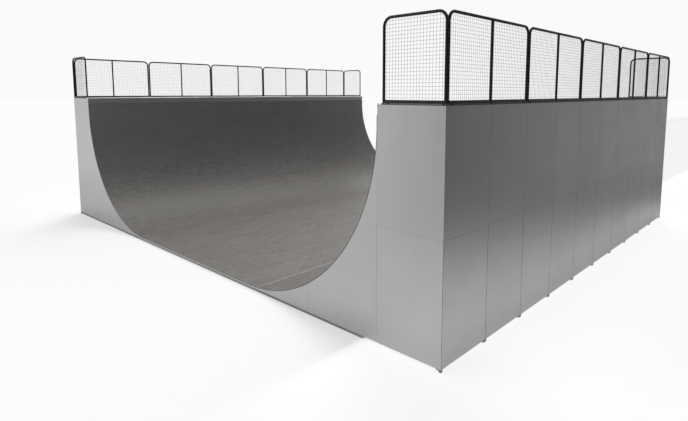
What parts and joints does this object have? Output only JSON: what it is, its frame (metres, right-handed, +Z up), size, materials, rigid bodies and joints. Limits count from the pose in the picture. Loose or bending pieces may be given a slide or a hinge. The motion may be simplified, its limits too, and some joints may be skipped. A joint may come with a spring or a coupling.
{
  "type": "half pipe ramp",
  "caption": "Free-standing vert half pipe ramp: two facing curved transitions with a low flat between, a guarded deck behind each lip, and grey sheet cladding on the backs and ends.",
  "frame": {"origin": "on the ground under the middle of the flat, centre of the bounding box's base", "axes": "+X across the ramp from the flat to one deck, +Y along the coping away from the near end, +Z up"},
  "size_m": [13.668, 12, 4.888],
  "materials": {
    "riding_sheet": "satin phenolic composite sheet, brown-grey, fine grain along the coping",
    "plywood": "raw exterior plywood",
    "deck_board": "film-faced plywood, dark brown-grey, anti-slip",
    "cladding": "satin light grey coated steel sheet",
    "galvanised_steel": "hot-dip galvanised",
    "coping_steel": "galvanised steel, worn bright along the top",
    "guard_black": "black powder coat, satin"
  },
  "bodies": {
    "root": {"flat_riding_sheets": "riding_sheet", "flat_plywood_underlay": "plywood", "flat_frame_1": "galvanised_steel", "flat_frame_2": "galvanised_steel", "flat_frame_3": "galvanised_steel", "flat_frame_4": "galvanised_steel", "flat_frame_5": "galvanised_steel", "right_transition_riding_sheets": "riding_sheet", "right_transition_plywood_underlay": "plywood", "right_frame_module_1": "galvanised_steel", "right_frame_module_2": "galvanised_steel", "right_frame_module_3": "galvanised_steel", "right_frame_module_4": "galvanised_steel", "right_frame_module_5": "galvanised_steel", "right_outer_base_rail": "galvanised_steel", "right_inner_base_rail": "galvanised_steel", "right_coping": "coping_steel", "right_deck_boards": "deck_board", "right_back_cladding_1": "cladding", "right_back_cladding_2": "cladding", "right_back_cladding_3": "cladding", "right_back_cladding_4": "cladding", "right_back_cladding_5": "cladding", "right_near_end_cladding": "cladding", "right_far_end_cladding": "cladding", "right_back_guard_1": "guard_black", "right_back_guard_2": "guard_black", "right_back_guard_3": "guard_black", "right_back_guard_4": "guard_black", "right_back_guard_5": "guard_black", "right_near_end_guard": "guard_black", "right_far_end_guard": "guard_black", "left_transition_riding_sheets": "riding_sheet", "left_transition_plywood_underlay": "plywood", "left_frame_module_1": "galvanised_steel", "left_frame_module_2": "galvanised_steel", "left_frame_module_3": "galvanised_steel", "left_frame_module_4": "galvanised_steel", "left_frame_module_5": "galvanised_steel", "left_outer_base_rail": "galvanised_steel", "left_inner_base_rail": "galvanised_steel", "left_coping": "coping_steel", "left_deck_boards": "deck_board", "left_back_cladding_1": "cladding", "left_back_cladding_2": "cladding", "left_back_cladding_3": "cladding", "left_back_cladding_4": "cladding", "left_back_cladding_5": "cladding", "left_near_end_cladding": "cladding", "left_far_end_cladding": "cladding", "left_back_guard_1": "guard_black", "left_back_guard_2": "guard_black", "left_back_guard_3": "guard_black", "left_back_guard_4": "guard_black", "left_back_guard_5": "guard_black", "left_near_end_guard": "guard_black", "left_far_end_guard": "guard_black", "near_flat_edge_strip": "cladding", "far_flat_edge_strip": "cladding"}
  },
  "joints": []
}
